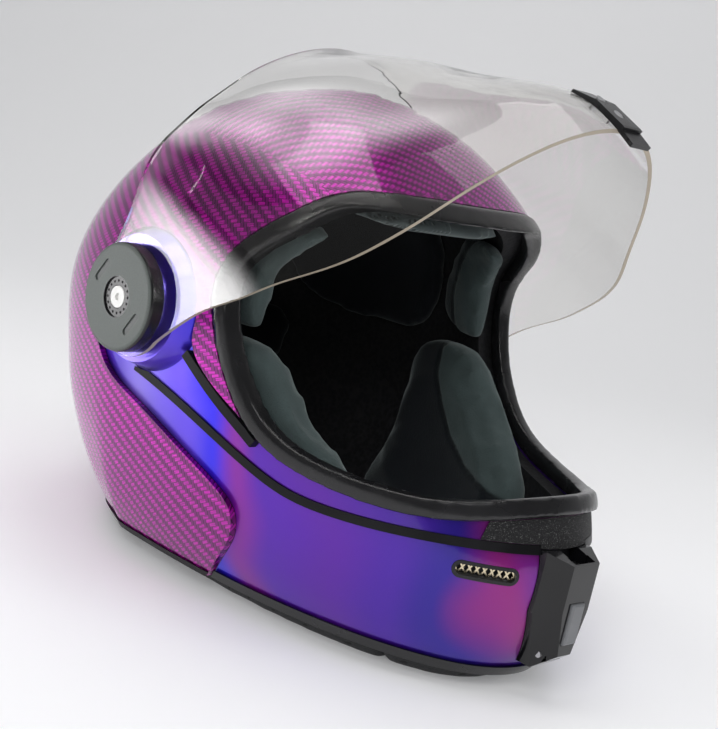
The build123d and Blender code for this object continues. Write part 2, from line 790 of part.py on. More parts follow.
plate_face = pod_face + plate_thickness
cover_seat = visor_half_width + stack_gap
cover_face = cover_seat + cover_thickness
well_floor = cover_face - cover_well_depth
head_bottom = well_floor + screw_head_proud - screw_head_height
pivot_covers = {}
pivot_screws = {}
pivot_bushes = {}
base_plates = {}
plate_screws = {}
for side, name in ((-1, "right"), (1, "left")):
    with BuildSketch(ear_plane(side, plate_face)) as plate_heads:
        with PolarLocations(plate_screw_circle, plate_screw_count):
            Circle(plate_screw_head)
    with BuildSketch(ear_plane(side, plate_face)) as plate_shanks:
        with PolarLocations(plate_screw_circle, plate_screw_count):
            Circle(plate_screw_radius)

    with BuildPart() as base_plates[name]:
        disc(side, pod_face, plate_radius, plate_thickness)
        disc(side, pod_face, screw_shank_radius + fastener_gap, plate_thickness, mode=Mode.SUBTRACT)
        head_holes = offset(plate_heads.sketch, amount=fastener_gap, mode=Mode.PRIVATE)
        extrude(head_holes, amount=-plate_screw_head_height, mode=Mode.SUBTRACT)
        shank_holes = offset(plate_shanks.sketch, amount=fastener_gap, mode=Mode.PRIVATE)
        extrude(shank_holes, amount=-plate_screw_length, mode=Mode.SUBTRACT)

    with BuildPart() as plate_screws[name]:
        extrude(plate_heads.sketch, amount=-plate_screw_head_height)
        extrude(plate_shanks.sketch, amount=-plate_screw_length)

    with BuildPart() as pivot_bushes[name]:
        disc(side, plate_face, bush_radius, cover_seat + bush_proud - plate_face)
        disc(side, plate_face, screw_shank_radius + fastener_gap, overrun, mode=Mode.SUBTRACT)

    with BuildPart() as pivot_covers[name]:
        disc(side, cover_seat, cover_radius, cover_thickness)
        fillet(faces().sort_by(Axis.X)[-1 if side > 0 else 0].edges(), cover_edge_round)
        disc(side, cover_face, cover_well_radius, -cover_well_depth, mode=Mode.SUBTRACT)
        disc(side, head_bottom - stack_gap, screw_head_radius + stack_gap, overrun, mode=Mode.SUBTRACT)
        disc(side, cover_seat, screw_shank_radius + running_gap, overrun, mode=Mode.SUBTRACT)
        disc(side, cover_seat, bush_radius + stack_gap, bush_proud + stack_gap, mode=Mode.SUBTRACT)
        with BuildSketch(ear_plane(side, well_floor)) as dimples:
            with PolarLocations(cover_dimple_circle, cover_dimple_count):
                Circle(cover_dimple_radius)
        extrude(dimples.sketch, amount=-cover_dimple_depth, mode=Mode.SUBTRACT)
        with BuildSketch(ear_plane(side, cover_face)) as marks:
            with Locations((0, cover_mark_circle), (0, -cover_mark_circle)):
                SlotOverall(cover_mark_length, cover_mark_width)
        extrude(marks.sketch, amount=-cover_mark_depth, mode=Mode.SUBTRACT)

    with BuildPart() as pivot_screws[name]:
        disc(side, head_bottom, screw_head_radius, screw_head_height)
        disc(side, head_bottom, screw_shank_radius, -screw_length)
        with BuildSketch(ear_plane(side, head_bottom + screw_head_height)) as socket:
            RegularPolygon(screw_socket_radius, 6)
        extrude(socket.sketch, amount=-screw_socket_depth, mode=Mode.SUBTRACT)

# chin latch
pin_reach = hook_front - hook_thickness / 2
pocket = hook_boss_radius + stack_gap
button_face = front_reach + latch_proud + button_proud
button_back = button_face - button_body
push_height = (button_bottom + button_top) / 2
root_outline = shield(
    front_view.offset(latch_root), latch_root_half, latch_top, latch_shoulder, latch_bottom,
    latch_root_half / 2,
)
crest_outline = shield(
    front_view.offset(front_reach + latch_proud), latch_front_half, latch_top - latch_facet,
    latch_shoulder + latch_facet, latch_bottom + 3 * latch_facet, latch_front_half / 2,
)


def cross_pin(radius, low, high, mode=Mode.ADD):
    """A round bar along X on the hook's pin."""
    pin_plane = Plane(origin=(low, axis_y - pin_reach, base_z + hook_pin_height), z_dir=(1, 0, 0))
    with BuildSketch(pin_plane) as face:
        Circle(radius)
    extrude(face.sketch, amount=high - low, mode=mode)


with BuildPart() as latch_housing:
    loft([root_outline.face(), crest_outline.face()], ruled=True)
    extrude(root_outline, amount=latch_back - latch_root)
    add(hull(guard_inner), mode=Mode.SUBTRACT)
    block(
        (-slot_half, cavity_front - stack_gap, slot_floor), (slot_half, slot_front, far),
        mode=Mode.SUBTRACT,
    )
    block(
        (-cavity_half, cavity_back, hook_pin_height), (cavity_half, cavity_front, slot_floor),
        mode=Mode.SUBTRACT,
    )
    block((-cavity_half, latch_back, button_top), (cavity_half, cavity_front, far), mode=Mode.SUBTRACT)
    block(
        (-cavity_half, pin_reach - pocket, hook_pin_height - pocket),
        (cavity_half, pin_reach + pocket, hook_pin_height + pocket), mode=Mode.SUBTRACT,
    )
    block(
        (-button_half - button_gap, cavity_front - stack_gap, button_bottom - button_gap),
        (button_half + button_gap, far, button_top + button_gap), mode=Mode.SUBTRACT,
    )
    cross_pin(hook_pin_radius + fastener_gap / 2, -hook_pin_half, hook_pin_half, mode=Mode.SUBTRACT)

with BuildPart() as latch_button:
    block((-button_half, button_back, button_bottom), (button_half, button_face, button_top))
    fillet(faces().sort_by(Axis.Y)[0].edges(), button_edge_round)
    block(
        (-button_stem, hook_front + stack_gap, push_height - button_stem),
        (button_stem, button_back, push_height + button_stem),
    )

with BuildPart() as latch_hook:
    block((-hook_half, hook_front - hook_thickness, hook_pin_height), (hook_half, hook_front, hook_top))
    nose_low = (-hook_half, hook_front, hook_top - hook_nose_height)
    block(nose_low, (hook_half, hook_front + hook_nose, hook_top))
    cross_pin(hook_boss_radius, -hook_half, hook_half)
    cross_pin(hook_pin_radius + running_gap, -hook_half, hook_half, mode=Mode.SUBTRACT)

with BuildPart() as latch_pin:
    cross_pin(hook_pin_radius, -hook_pin_half, hook_pin_half)

spring_start = (hook_half + stack_gap + spring_wire, axis_y - pin_reach, base_z + hook_pin_height)
with BuildPart() as latch_spring:
    with BuildLine() as coil:
        Helix(
            spring_pitch, spring_pitch * spring_turns, spring_radius, center=spring_start,
            direction=(1, 0, 0),
        )
    with BuildSketch(Plane(origin=coil.line @ 0, z_dir=coil.line % 0)) as wire:
        Circle(spring_wire / 2)
    sweep(wire.sketch, path=coil.line, is_frenet=True)

# chin vents
with BuildPart() as vent_skin:
    layer(guard_recess - vent_proud, guard_inner)

vent_frames = {}
vent_meshes = {}
for side, name in ((-1, "right"), (1, "left")):
    with BuildPart() as vent_frames[name]:
        extrude(vent_slot(side, 0, 0), amount=pod_depth, both=True)
        extrude(vent_slot(side, 0, vent_rim), amount=pod_depth, both=True, mode=Mode.SUBTRACT)
        add(vent_skin.part, mode=Mode.INTERSECT)

    with BuildSketch(vent_plane(side, mesh_depth)) as net:
        with GridLocations(mesh_pitch, 1, int(vent_length / mesh_pitch) + 2, 1):
            for lean in (-mesh_lean_deg, mesh_lean_deg):
                Rectangle(mesh_bar, 2 * vent_height, rotation=lean)

    with BuildPart() as vent_meshes[name]:
        extrude(net.sketch, amount=-mesh_thickness)
        extrude(vent_slot(side, 0, vent_rim + seal_gap), amount=-pod_depth, mode=Mode.INTERSECT)

still = {
    "outer_shell": outer_shell,
    "chin_guard": chin_guard,
    "eye_port_gasket": eye_port_gasket,
    "chin_strip": chin_strip,
    "lower_trim_front": lower_trim_front,
    "lower_trim_rear": lower_trim_rear,
    "skull_liner": skull_liner,
    "chin_liner": chin_liner,
    "crown_pad": crown_pad,
    "nape_pad": nape_pad,
    "brow_pad": brow_pad,
    "neck_roll": neck_roll,
    "chin_curtain": chin_curtain,
    "latch_housing": latch_housing,
    "latch_button": latch_button,
    "latch_hook": latch_hook,
    "latch_pin": latch_pin,
    "latch_spring": latch_spring,
}
turning = {"visor": visor, "visor_tab": visor_tab, "tab_screws": tab_screws}
for name in ("right", "left"):
    turning[f"pivot_cover_{name}"] = pivot_covers[name]
    still[f"visor_seal_{name}"] = groove_seals[name]
    still[f"guard_line_trim_{name}"] = line_trims[name]
    still[f"cheek_pad_{name}"] = cheek_pads[name]
    still[f"temple_pad_{name}"] = temple_pads[name]
    still[f"side_pad_{name}"] = side_pads[name]
    still[f"chin_strap_{name}"] = straps[name]
    still[f"pivot_screw_{name}"] = pivot_screws[name]
    still[f"pivot_bush_{name}"] = pivot_bushes[name]
    still[f"base_plate_{name}"] = base_plates[name]
    still[f"base_plate_screws_{name}"] = plate_screws[name]
    still[f"vent_frame_{name}"] = vent_frames[name]
    still[f"vent_mesh_{name}"] = vent_meshes[name]

os.makedirs("parts", exist_ok=True)
for name, piece in {**still, **turning}.items():
    solid = piece.part
    if name in turning:
        solid = solid.rotate(hinge_axis, -visor_raise_deg)
    solid.label = name
    export_step(solid, f"parts/{name}.step")
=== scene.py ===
"""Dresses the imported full-face helmet: carbon shell, candy paint, clear visor, rubber edges and cloth pads.

Every length is in metres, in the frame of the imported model: X to the wearer's left, Y to the rear, Z up.
"""

import logging
import math
from dataclasses import dataclass, field
from enum import Enum

import bmesh
import bpy
import numpy as np
from mathutils import Matrix, Vector
from mathutils.kdtree import KDTree


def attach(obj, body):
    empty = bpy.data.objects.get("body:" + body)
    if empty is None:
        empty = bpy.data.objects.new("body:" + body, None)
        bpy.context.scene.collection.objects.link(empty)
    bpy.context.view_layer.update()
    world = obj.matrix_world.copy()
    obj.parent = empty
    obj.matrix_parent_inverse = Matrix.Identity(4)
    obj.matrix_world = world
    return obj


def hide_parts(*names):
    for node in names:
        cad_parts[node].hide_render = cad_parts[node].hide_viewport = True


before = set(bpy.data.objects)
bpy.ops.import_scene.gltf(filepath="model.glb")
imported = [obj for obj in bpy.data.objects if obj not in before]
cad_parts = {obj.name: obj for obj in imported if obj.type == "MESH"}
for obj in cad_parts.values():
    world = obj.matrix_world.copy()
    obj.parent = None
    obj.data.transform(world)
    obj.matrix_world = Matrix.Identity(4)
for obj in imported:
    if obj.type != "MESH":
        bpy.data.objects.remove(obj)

LOG = logging.getLogger("helmet")
SIDES = ("right", "left")
MM = 0.001
PIVOT = (0.02855, 0.132)
SHARP_EDGE = math.radians(30)

Colour = tuple[float, float, float]
Point = tuple[float, float, float]
Span = tuple[float, float]
Material = bpy.types.Material
Socket = bpy.types.NodeSocket


class Graph:
    """A material's node tree, built with short calls around one Principled shader."""

    def __init__(self, name: str) -> None:
        """Starts a material.

        Args:
            name: The material's name.
        """
        self.material = bpy.data.materials.new(name)
        self.material.use_nodes = True
        tree = self.material.node_tree
        self.nodes = tree.nodes
        self.links = tree.links
        self.shader = tree.nodes["Principled BSDF"]

    def feed(self, socket: Socket, value: object) -> None:
        """Links a socket or sets a plain value.

        Args:
            socket: The input to fill.
            value: An output socket, a number or a colour.
        """
        if isinstance(value, bpy.types.NodeSocket):
            self.links.new(value, socket)
        elif isinstance(value, tuple) and len(value) == 3 and socket.type == "RGBA":
            socket.default_value = (*value, 1.0)
        else:
            socket.default_value = value

    def add(self, kind: str, inputs: dict | None = None, **settings: object) -> bpy.types.Node:
        """Adds a node.

        Args:
            kind: The node's type, without its ShaderNode prefix.
            inputs: Values or sockets by input name or number.
            **settings: Properties of the node itself.

        Returns:
            The new node.
        """
        node = self.nodes.new("ShaderNode" + kind)
        for name, value in settings.items():
            setattr(node, name, value)
        for name, value in (inputs or {}).items():
            self.feed(node.inputs[name], value)
        return node

    def calc(self, operation: str, *values: object) -> Socket:
        """Adds a Math node.

        Args:
            operation: Its operation.
            *values: Its inputs, in order.

        Returns:
            Its result.
        """
        return self.add("Math", dict(enumerate(values)), operation=operation).outputs[0]

    def blend(self, factor: object, low: object, high: object) -> Socket:
        """Mixes two colours.

        Args:
            factor: The share of the second colour.
            low: The first colour.
            high: The second colour.

        Returns:
            The mixed colour.
        """
        node = self.add("Mix", data_type="RGBA")
        self.feed(node.inputs[0], factor)
        self.feed(node.inputs[6], low)
        self.feed(node.inputs[7], high)
        return node.outputs[2]

    def ramp(self, factor: Socket, stops: list[tuple[float, Colour]], ease: bool = False) -> Socket:
        """Adds a colour ramp.

        Args:
            factor: What runs along the ramp.
            stops: Places from 0 to 1 and their colours.
            ease: True for soft steps between the stops.

        Returns:
            The colour.
        """
        node = self.add("ValToRGB", {0: factor})
        bar = node.color_ramp
        bar.interpolation = "EASE" if ease else "LINEAR"
        while len(bar.elements) < len(stops):
            bar.elements.new(0.5)
        for element, (place, colour) in zip(bar.elements, stops):
            element.position = place
            element.color = (*colour, 1.0)
        return node.outputs[0]

    def step(self, value: object, low: float, high: float) -> Socket:
        """A smooth step from 0 at low to 1 at high.

        Args:
            value: What is stepped.
            low: Where the step starts.
            high: Where the step ends.

        Returns:
            The stepped value.
        """
        inputs = {0: value, 1: low, 2: high, 3: 0.0, 4: 1.0}
        return self.add("MapRange", inputs, interpolation_type="SMOOTHSTEP").outputs[0]

    def remap(self, value: Socket, span: Span, result: Span) -> Socket:
        """Moves a value from one range to another and holds it at the ends.

        Args:
            value: What is moved.
            span: The range that it comes from.
            result: The range that it goes to.

        Returns:
            The moved value.
        """
        inputs = {0: value, 1: span[0], 2: span[1], 3: result[0], 4: result[1]}
        return self.add("MapRange", inputs).outputs[0]

    def place(self) -> Socket:
        """The position on the piece, in metres."""
        return self.add("TexCoord").outputs["Object"]

    def axes(self, vector: Socket) -> tuple[Socket, Socket, Socket]:
        """Splits a vector into X, Y and Z."""
        node = self.add("SeparateXYZ", {0: vector})
        return node.outputs[0], node.outputs[1], node.outputs[2]

    def noise(self, scale: float, detail: float = 2.0, vector: Socket | None = None) -> Socket:
        """Smooth noise.

        Args:
            scale: Cycles in a metre.
            detail: Octaves.
            vector: Where it is read; the position if left out.

        Returns:
            The noise, about 0.5.
        """
        inputs = {"Vector": vector or self.place(), "Scale": scale, "Detail": detail}
        return self.add("TexNoise", inputs).outputs[0]

    def cells(self, scale: float, randomness: float = 1.0) -> Socket:
        """Distance to the nearest of scattered points, in cells.

        Args:
            scale: Cells in a metre.
            randomness: 0 for a regular grid, 1 for scattered points.

        Returns:
            The distance.
        """
        inputs = {"Vector": self.place(), "Scale": scale, "Randomness": randomness}
        return self.add("TexVoronoi", inputs).outputs["Distance"]

    def attribute(self, name: str) -> Socket:
        """A number kept on the mesh's points."""
        return self.add("Attribute", attribute_name=name).outputs["Fac"]

    def bump(self, height: Socket, distance: float, strength: float = 1.0) -> None:
        """Raises the surface by a height.

        Args:
            height: The height, from 0 to 1.
            distance: What a height of 1 is, in metres.
            strength: How much of it shows.
        """
        node = self.add("Bump", {"Height": height, "Distance": distance, "Strength": strength})
        self.feed(self.shader.inputs["Normal"], node.outputs[0])

    def finish(self, **sockets: object) -> Material:
        """Fills the shader's own sockets.

        Args:
            **sockets: Values by socket name, with underscores for spaces.

        Returns:
            The finished material.
        """
        for name, value in sockets.items():
            self.feed(self.shader.inputs[name.replace("_", " ")], value)
        return self.material


def lighter(colour: Colour, factor: float, lift: float) -> Colour:
    """A colour times a factor, plus a lift, at most 1 in each part."""
    return tuple(min(1.0, part * factor + lift) for part in colour)


@dataclass(frozen=True)
class TwillCarbon:
    """Two-by-two twill carbon under a tinted gloss coat, with painted sheen and painted shade in its weave.

    The cloth is laid round the sides by angle and over the crown as a second panel.
    """

    name: str = "twill_carbon"
    centre: Point = (0.0, 0.025, 0.125)
    radius: float = 0.118
    tow: float = 0.0019
    lean: float = math.radians(20)
    repeat: float = 4.0
    weft_below: float = 1.5
    tow_crown: float = 3.0
    valley: float = 0.35
    fibre_stretch: Span = (0.35, 6.0)
    sheen_span: Span = (0.2, 0.8)
    # Bright: painted sheen on the weft crowns. Darkest: painted shade at the tow edges, partly real gaps.
    bright: Colour = (0.90, 0.010, 0.68)
    middle: Colour = (0.20, 0.003, 0.17)
    gap_and_edge_shade: Colour = (0.010, 0.001, 0.012)
    relief: float = 0.00012
    relief_share: float = 0.5
    metallic: float = 0.7
    roughness: float = 0.36
    coat_roughness: float = 0.03
    coat_ior: float = 1.45
    coat_tint: tuple[float, float, float, float] = (1.0, 0.80, 1.0, 1.0)

    def make(self) -> Material:
        """Builds the material.

        Returns:
            The material.
        """
        g = Graph(self.name)
        u, v = self.laid(g)
        cell = g.calc("ADD", g.calc("FLOOR", u), g.calc("FLOOR", v))
        weft = g.calc("LESS_THAN", g.calc("FLOORED_MODULO", cell, self.repeat), self.weft_below)
        weft_round = self.rounded(g, v)
        warp_round = self.rounded(g, u)
        along, across = (g.calc("MULTIPLY", place, by) for place, by in zip((u, v), self.fibre_stretch))
        # Painted sheen: streaks of noise along the fibres make the weft crowns brighter.
        sheen_streaks = g.noise(1.0, 2.0, g.add("CombineXYZ", {0: along, 1: across}).outputs[0])
        weft_painted_sheen = g.calc("MULTIPLY", weft_round, g.step(sheen_streaks, *self.sheen_span))
        weft_colour = g.blend(weft_painted_sheen, self.middle, self.bright)
        # Painted shade: the warp tows are darker than the weft, and darker still towards their edges.
        warp_colour = g.blend(warp_round, self.gap_and_edge_shade, self.middle)
        woven = g.blend(weft, warp_colour, weft_colour)
        weft_height = g.calc("MULTIPLY", weft, weft_round)
        warp_height = g.calc("MULTIPLY", g.calc("SUBTRACT", 1.0, weft), warp_round)
        height = g.calc("MAXIMUM", weft_height, warp_height)
        # Darker towards every tow's edge: partly the real gaps between tows, partly painted shade on the
        # round tows.
        colour = g.blend(g.step(height, 0.0, self.valley), self.gap_and_edge_shade, woven)
        g.bump(height, self.relief, self.relief_share)
        return g.finish(
            Base_Color=colour, Metallic=self.metallic, Roughness=self.roughness, Coat_Weight=1.0,
            Coat_Roughness=self.coat_roughness, Coat_IOR=self.coat_ior, Coat_Tint=self.coat_tint,
        )

    def laid(self, g: Graph) -> tuple[Socket, Socket]:
        """Lays the cloth on the shell.

        Args:
            g: The graph.

        Returns:
            The place across the warp and across the weft, counted in tows.
        """
        place = g.add("VectorMath", {0: g.place(), 1: self.centre}, operation="SUBTRACT").outputs[0]
        x, y, z = g.axes(place)
        widest = g.calc("MAXIMUM", g.calc("ABSOLUTE", x), g.calc("ABSOLUTE", y))
        top = g.calc("GREATER_THAN", z, widest)
        around = g.calc("ARCTAN2", x, g.calc("MULTIPLY", y, -1.0))
        rise = g.calc("ARCTAN2", z, widest)
        across = self.pick(g, top, around, g.calc("ARCTAN2", x, z))
        along = self.pick(g, top, rise, g.calc("ARCTAN2", y, z))
        per_tow = self.radius / self.tow
        straight = math.cos(self.lean) * per_tow
        slanted = math.sin(self.lean) * per_tow
        u = self.turned(g, across, along, straight, slanted)
        v = self.turned(g, across, along, -slanted, straight)
        return u, v

    def pick(self, g: Graph, which: Socket, low: Socket, high: Socket) -> Socket:
        """One of two numbers.

        Args:
            g: The graph.
            which: 0 or 1.
            low: The number at 0.
            high: The number at 1.

        Returns:
            The chosen number.
        """
        return g.add("Mix", {0: which, 2: low, 3: high}, data_type="FLOAT").outputs[0]

    def turned(self, g: Graph, a: Socket, b: Socket, from_a: float, from_b: float) -> Socket:
        """The sum of two numbers, each times a factor.

        Args:
            g: The graph.
            a: The first number.
            b: The second number.
            from_a: Its factor.
            from_b: Its factor.

        Returns:
            The sum.
        """
        return g.calc("ADD", g.calc("MULTIPLY", a, from_a), g.calc("MULTIPLY", b, from_b))

    def rounded(self, g: Graph, across: Socket) -> Socket:
        """A tow's round section.

        Args:
            g: The graph.
            across: The place across the tows, counted in tows.

        Returns:
            1 in a tow's middle and 0 at its edges.
        """
        both_ways = g.calc("SUBTRACT", g.calc("MULTIPLY", g.calc("FRACT", across), 2.0), 1.0)
        edge = g.calc("ABSOLUTE", both_ways)
        return g.calc("SUBTRACT", 1.0, g.calc("POWER", edge, self.tow_crown))


@dataclass(frozen=True)
class CandyPaint:
    """Gloss paint, blue to violet to magenta along the piece: partly its own hues, partly painted reflection.
    """

    name: str = "candy_paint"
    rear: float = 0.037
    front: float = -0.172
    lean: float = 0.18
    wave_scale: float = 14.0
    wave_reach: float = 0.05
    # The stops copy the colour-shift paint's look from one angle: partly its own hues, partly painted
    # reflection.
    stops: tuple[tuple[float, Colour], ...] = (
        (0.00, (0.08, 0.03, 0.60)),
        # Pale band by the pivot: painted highlight.
        (0.14, (0.22, 0.16, 0.72)),
        (0.25, (0.12, 0.06, 0.80)),
        (0.34, (0.015, 0.006, 0.85)),
        (0.43, (0.24, 0.004, 0.34)),
        (0.50, (0.09, 0.001, 0.42)),
        (0.62, (0.10, 0.001, 0.36)),
        (0.74, (0.060, 0.001, 0.36)),
        (0.88, (0.014, 0.001, 0.28)),
        (0.955, (0.30, 0.004, 0.18)),
        (1.00, (0.03, 0.004, 0.42)),
    )
    flake_scale: float = 4200.0
    flake_reach: float = 0.6
    flake_share: float = 0.10
    flake_colour: Colour = (0.16, 0.08, 0.60)
    metallic: float = 0.7
    roughness: float = 0.32
    coat_roughness: float = 0.012
    coat_ior: float = 1.38

    def make(self) -> Material:
        """Builds the material.

        Returns:
            The material.
        """
        g = Graph(self.name)
        _, y, z = g.axes(g.place())
        wave = g.calc("MULTIPLY", g.calc("SUBTRACT", g.noise(self.wave_scale, 1.0), 0.5), self.wave_reach)
        along = g.calc("ADD", g.calc("SUBTRACT", y, g.calc("MULTIPLY", z, self.lean)), wave)
        share = g.remap(along, (self.rear, self.front), (0.0, 1.0))
        colour = g.ramp(share, list(self.stops), ease=True)
        flake = g.step(g.cells(self.flake_scale), 0.0, self.flake_reach)
        colour = g.blend(g.calc("MULTIPLY", flake, self.flake_share), colour, self.flake_colour)
        return g.finish(
            Base_Color=colour, Metallic=self.metallic, Roughness=self.roughness, Coat_Weight=1.0,
            Coat_Roughness=self.coat_roughness, Coat_IOR=self.coat_ior,
        )


@dataclass(frozen=True)
class Rubber:
    """Black rubber with a fine grain and a little dust."""

    name: str
    colour: Colour
    roughness: float
    specular: float
    grain: float = 1600.0
    grain_depth: float = 0.00006
    grain_share: float = 0.45
    dust_scale: float = 35.0
    dust_span: Span = (0.45, 0.85)
    shine_span: Span = (0.3, 0.7)
    smoother: float = 0.06
    rougher: float = 0.08

    def make(self) -> Material:
        """Builds the material.

        Returns:
            The material.
        """
        g = Graph(self.name)
        dust = g.noise(self.dust_scale, 4.0)
        g.bump(g.noise(self.grain, 3.0), self.grain_depth, self.grain_share)
        limits = (self.roughness - self.smoother, self.roughness + self.rougher)
        return g.finish(
            Base_Color=g.blend(g.step(dust, *self.dust_span), self.colour, lighter(self.colour, 1.7, 0.004)),
            Roughness=g.remap(dust, self.shine_span, limits), Specular_IOR_Level=self.specular,
        )


@dataclass(frozen=True)
class SpeckledStrip:
    """Black textured strip with pale glints."""

    name: str = "speckled_strip"
    ground: Colour = (0.008, 0.008, 0.009)
    glint: Colour = (0.30, 0.30, 0.30)
    pit_scale: float = 1300.0
    pit_depth: float = 0.0004
    pit_share: float = 0.9
    glint_scale: float = 2400.0
    glint_span: Span = (0.62, 0.78)
    roughness: float = 0.6

    def make(self) -> Material:
        """Builds the material.

        Returns:
            The material.
        """
        g = Graph(self.name)
        glint = g.step(g.noise(self.glint_scale, 1.0), *self.glint_span)
        g.bump(g.noise(self.pit_scale, 4.0), self.pit_depth, self.pit_share)
        return g.finish(Base_Color=g.blend(glint, self.ground, self.glint), Roughness=self.roughness)


class Weave(Enum):
    """How a cloth is knitted."""

    JERSEY = "jersey"
    HONEYCOMB = "honeycomb"
    WEBBING = "webbing"


@dataclass(frozen=True)
class Cloth:
    """Cloth with a face colour near the eye port and a darker one inside.

    The weave shows from the wearer's right up to open_to, and the rest is plain.
    """

    name: str
    weave: Weave = Weave.JERSEY
    face: Colour = (0.060, 0.082, 0.082)
    inside: Colour = (0.007, 0.008, 0.011)
    hollow: Colour = (0.004, 0.004, 0.005)
    hollow_share: float = 0.75
    seam: Colour = (0.006, 0.007, 0.008)
    open_to: float = 1.0
    open_blur: float = 0.0004
    pitch: float = 0.0011
    relief: float = 0.35
    relief_share: float = 0.7
    wear_scale: float = 60.0
    wear_span: Span = (0.3, 0.75)
    wear_share: float = 0.3
    roughness: float = 0.9
    specular: float = 0.25
    sheen: float = 0.35
    sheen_roughness: float = 0.45
    sheen_tint: tuple[float, float, float, float] = (0.75, 0.85, 0.85, 1.0)

    def make(self) -> Material:
        """Builds the material.

        Returns:
            The material.
        """
        g = Graph(self.name)
        scale = 1.0 / self.pitch
        height, open_share = self.surface(g, scale)
        x, _, _ = g.axes(g.place())
        knitted = g.step(x, self.open_to + self.open_blur, self.open_to)
        height = g.calc("MULTIPLY", height, knitted)
        open_share = g.calc("MULTIPLY", open_share, knitted)
        base = g.blend(g.attribute("rim"), self.inside, self.face)
        dark = g.blend(self.hollow_share, base, self.hollow)
        colour = g.blend(open_share, base, dark)
        wear = g.step(g.noise(self.wear_scale, 3.0), *self.wear_span)
        colour = g.blend(g.calc("MULTIPLY", wear, self.wear_share), colour, dark)
        colour = g.blend(g.attribute("seam"), colour, self.seam)
        g.bump(height, self.pitch * self.relief, self.relief_share)
        return g.finish(
            Base_Color=colour, Roughness=self.roughness, Specular_IOR_Level=self.specular,
            Sheen_Weight=self.sheen, Sheen_Roughness=self.sheen_roughness, Sheen_Tint=self.sheen_tint,
        )

    def surface(self, g: Graph, scale: float) -> tuple[Socket, Socket]:
        """The weave's height and how open it is.

        Args:
            g: The graph.
            scale: Stitches in a metre.

        Returns:
            The height and the open share.
        """
        if self.weave is Weave.HONEYCOMB:
            cell = g.cells(scale, 0.12)
            return g.step(cell, 0.15, 0.5), g.calc("SUBTRACT", 1.0, g.step(cell, 0.22, 0.42))
        if self.weave is Weave.WEBBING:
            inputs = {"Vector": g.place(), "Scale": scale * 0.32, "Distortion": 0.6, "Detail": 1.0}
            ribs = g.add("TexWave", inputs, bands_direction="DIAGONAL").outputs["Fac"]
            return ribs, g.calc("SUBTRACT", 1.0, g.step(ribs, 0.1, 0.6))
        threads = g.noise(scale * 1.6, 2.0)
        return threads, g.calc("MULTIPLY", g.step(threads, 0.55, 0.8), 0.45)


@dataclass(frozen=True)
class PerforatedLeather:
    """Black imitation leather with staggered rows of small holes."""

    name: str = "perforated_leather"
    centre: Point = (0.0, 0.015, 0.0)
    pitch: float = 0.0058
    radius: float = 0.072
    hole_span: Span = (0.10, 0.17)
    grain_scale: float = 900.0
    grain_span: Span = (0.2, 0.9)
    grain_height: float = 0.25
    face: Colour = (0.018, 0.018, 0.020)
    crease: Colour = (0.030, 0.030, 0.033)
    hole_colour: Colour = (0.002, 0.002, 0.002)
    depth: float = 0.0004
    depth_share: float = 0.8
    roughness: float = 0.55
    specular: float = 0.45

    def make(self) -> Material:
        """Builds the material.

        Returns:
            The material.
        """
        g = Graph(self.name)
        hole = self.holes(g)
        grain = g.cells(self.grain_scale)
        colour = g.blend(g.step(grain, *self.grain_span), self.face, self.crease)
        colour = g.blend(g.calc("MAXIMUM", hole, g.attribute("seam")), colour, self.hole_colour)
        height = g.calc("SUBTRACT", g.calc("MULTIPLY", grain, self.grain_height), hole)
        g.bump(height, self.depth, self.depth_share)
        return g.finish(Base_Color=colour, Roughness=self.roughness, Specular_IOR_Level=self.specular)

    def holes(self, g: Graph) -> Socket:
        """Rows of holes round the collar, every second column half a pitch higher.

        Args:
            g: The graph.

        Returns:
            1 in a hole and 0 between.
        """
        place = g.add("VectorMath", {0: g.place(), 1: self.centre}, operation="SUBTRACT").outputs[0]
        x, y, z = g.axes(place)
        u = g.calc("MULTIPLY", g.calc("ARCTAN2", x, y), self.radius / self.pitch)
        v = g.calc("DIVIDE", z, self.pitch)
        raised = g.calc("MULTIPLY", g.calc("FLOORED_MODULO", g.calc("FLOOR", u), 2.0), 0.5)
        du = g.calc("SUBTRACT", g.calc("FRACT", u), 0.5)
        dv = g.calc("SUBTRACT", g.calc("FRACT", g.calc("ADD", v, raised)), 0.5)
        away = g.calc("SQRT", g.calc("ADD", g.calc("MULTIPLY", du, du), g.calc("MULTIPLY", dv, dv)))
        return g.calc("SUBTRACT", 1.0, g.step(away, *self.hole_span))


@dataclass(frozen=True)
class ClearSheet:
    """Polished clear sheet with a faint warm tint."""

    name: str = "clear_sheet"
    haze_scale: float = 18.0
    haze_span: Span = (0.3, 0.8)
    roughest: float = 0.03
    warm: Colour = (0.955, 0.945, 0.925)
    pale: Colour = (0.975, 0.970, 0.955)
    ior: float = 1.46

    def make(self) -> Material:
        """Builds the material.

        Returns:
            The material.
        """
        g = Graph(self.name)
        haze = g.noise(self.haze_scale, 3.0)
        rough = g.remap(haze, self.haze_span, (0.0, self.roughest))
        tint = g.blend(haze, self.warm, self.pale)
        return g.finish(Base_Color=tint, Roughness=rough, Transmission_Weight=1.0, IOR=self.ior)


